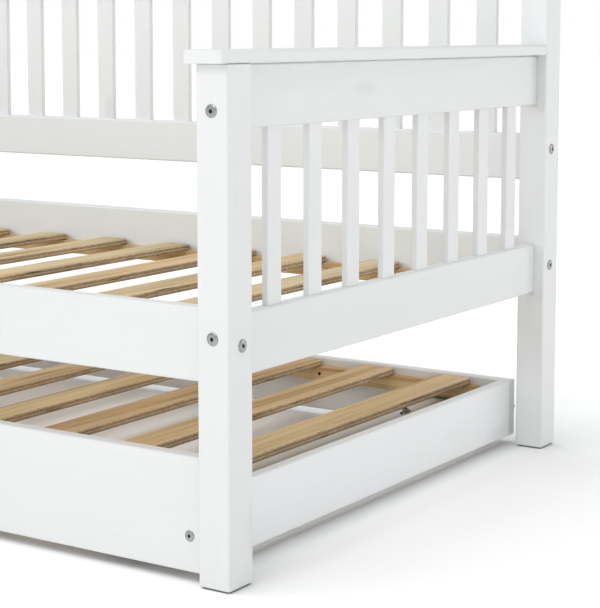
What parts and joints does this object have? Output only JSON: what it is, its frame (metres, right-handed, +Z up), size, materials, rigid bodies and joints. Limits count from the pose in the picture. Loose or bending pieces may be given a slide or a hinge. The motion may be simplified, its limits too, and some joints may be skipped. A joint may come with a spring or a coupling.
{
  "type": "trundle bed",
  "caption": "White-painted wooden day bed with slatted arms and back, and a low trundle bed on castors that pulls out from under its front rail; both have plywood mattress slats.",
  "frame": {"origin": "centre of the bed's footprint, on the floor", "axes": "+X along the bed towards its right-hand end as seen from the front, +Y towards the back panel, +Z up"},
  "size_m": [2.106, 1.002, 0.9003],
  "materials": {
    "white_paint": "satin white paint over pine, faint grain",
    "pine": "planed bare pine",
    "veneer_slat": "bare plywood with a pine face and dark glue lines in its edges",
    "zinc_steel": "bright zinc plating",
    "castor_plastic": "dark grey moulded plastic"
  },
  "bodies": {
    "bed_frame": {"front_leg_left": "white_paint", "rear_post_left": "white_paint", "upper_end_rail_left": "white_paint", "lower_end_rail_left": "white_paint", "end_slat_panel_left": "white_paint", "arm_cap_left": "white_paint", "front_leg_right": "white_paint", "rear_post_right": "white_paint", "upper_end_rail_right": "white_paint", "lower_end_rail_right": "white_paint", "end_slat_panel_right": "white_paint", "arm_cap_right": "white_paint", "back_lower_rail": "white_paint", "back_top_rail": "white_paint", "back_slat_panel": "white_paint", "back_cap": "white_paint", "front_side_rail": "white_paint", "back_side_rail": "white_paint", "bed_cleat_front": "pine", "bed_cleat_back": "pine", "bed_slat_1": "veneer_slat", "bed_slat_2": "veneer_slat", "bed_slat_3": "veneer_slat", "bed_slat_4": "veneer_slat", "bed_slat_5": "veneer_slat", "bed_slat_6": "veneer_slat", "bed_slat_7": "veneer_slat", "bed_slat_8": "veneer_slat", "bed_slat_9": "veneer_slat", "bed_slat_10": "veneer_slat", "bed_slat_11": "veneer_slat", "bed_slat_12": "veneer_slat"},
    "trundle": {"trundle_front_board": "white_paint", "trundle_back_board": "white_paint", "trundle_end_board_left": "white_paint", "trundle_end_board_right": "white_paint", "castor_plank_left": "white_paint", "castor_plank_right": "white_paint", "trundle_cleat_front": "pine", "trundle_cleat_back": "pine", "trundle_slat_1": "veneer_slat", "trundle_slat_2": "veneer_slat", "trundle_slat_3": "veneer_slat", "trundle_slat_4": "veneer_slat", "trundle_slat_5": "veneer_slat", "trundle_slat_6": "veneer_slat", "trundle_slat_7": "veneer_slat", "trundle_slat_8": "veneer_slat", "trundle_slat_9": "veneer_slat", "trundle_slat_10": "veneer_slat", "trundle_slat_11": "veneer_slat", "trundle_slat_12": "veneer_slat"},
    "castor_front_left": {"castor_fork_front_left": "zinc_steel"},
    "wheel_front_left": {"castor_wheel_front_left": "castor_plastic"},
    "castor_front_right": {"castor_fork_front_right": "zinc_steel"},
    "wheel_front_right": {"castor_wheel_front_right": "castor_plastic"},
    "castor_back_left": {"castor_fork_back_left": "zinc_steel"},
    "wheel_back_left": {"castor_wheel_back_left": "castor_plastic"},
    "castor_back_right": {"castor_fork_back_right": "zinc_steel"},
    "wheel_back_right": {"castor_wheel_back_right": "castor_plastic"}
  },
  "joints": [
    {"name": "trundle_slide", "type": "slide", "parent": "bed_frame", "child": "trundle", "axis": [0, -1, 0], "range_m": [0, 0.94]},
    {"name": "swivel_front_left", "type": "hinge", "parent": "trundle", "child": "castor_front_left", "pos_m": [-0.846, -0.312, 0.045], "axis": [0, 0, 1], "continuous": true},
    {"name": "swivel_front_right", "type": "hinge", "parent": "trundle", "child": "castor_front_right", "pos_m": [0.846, -0.312, 0.045], "axis": [0, 0, 1], "continuous": true},
    {"name": "swivel_back_left", "type": "hinge", "parent": "trundle", "child": "castor_back_left", "pos_m": [-0.846, 0.309, 0.045], "axis": [0, 0, 1], "continuous": true},
    {"name": "swivel_back_right", "type": "hinge", "parent": "trundle", "child": "castor_back_right", "pos_m": [0.846, 0.309, 0.045], "axis": [0, 0, 1], "continuous": true},
    {"name": "roll_front_left", "type": "hinge", "parent": "castor_front_left", "child": "wheel_front_left", "pos_m": [-0.846, -0.326, 0.02], "axis": [1, 0, 0], "continuous": true},
    {"name": "roll_front_right", "type": "hinge", "parent": "castor_front_right", "child": "wheel_front_right", "pos_m": [0.846, -0.326, 0.02], "axis": [1, 0, 0], "continuous": true},
    {"name": "roll_back_left", "type": "hinge", "parent": "castor_back_left", "child": "wheel_back_left", "pos_m": [-0.846, 0.295, 0.02], "axis": [1, 0, 0], "continuous": true},
    {"name": "roll_back_right", "type": "hinge", "parent": "castor_back_right", "child": "wheel_back_right", "pos_m": [0.846, 0.295, 0.02], "axis": [1, 0, 0], "continuous": true}
  ]
}
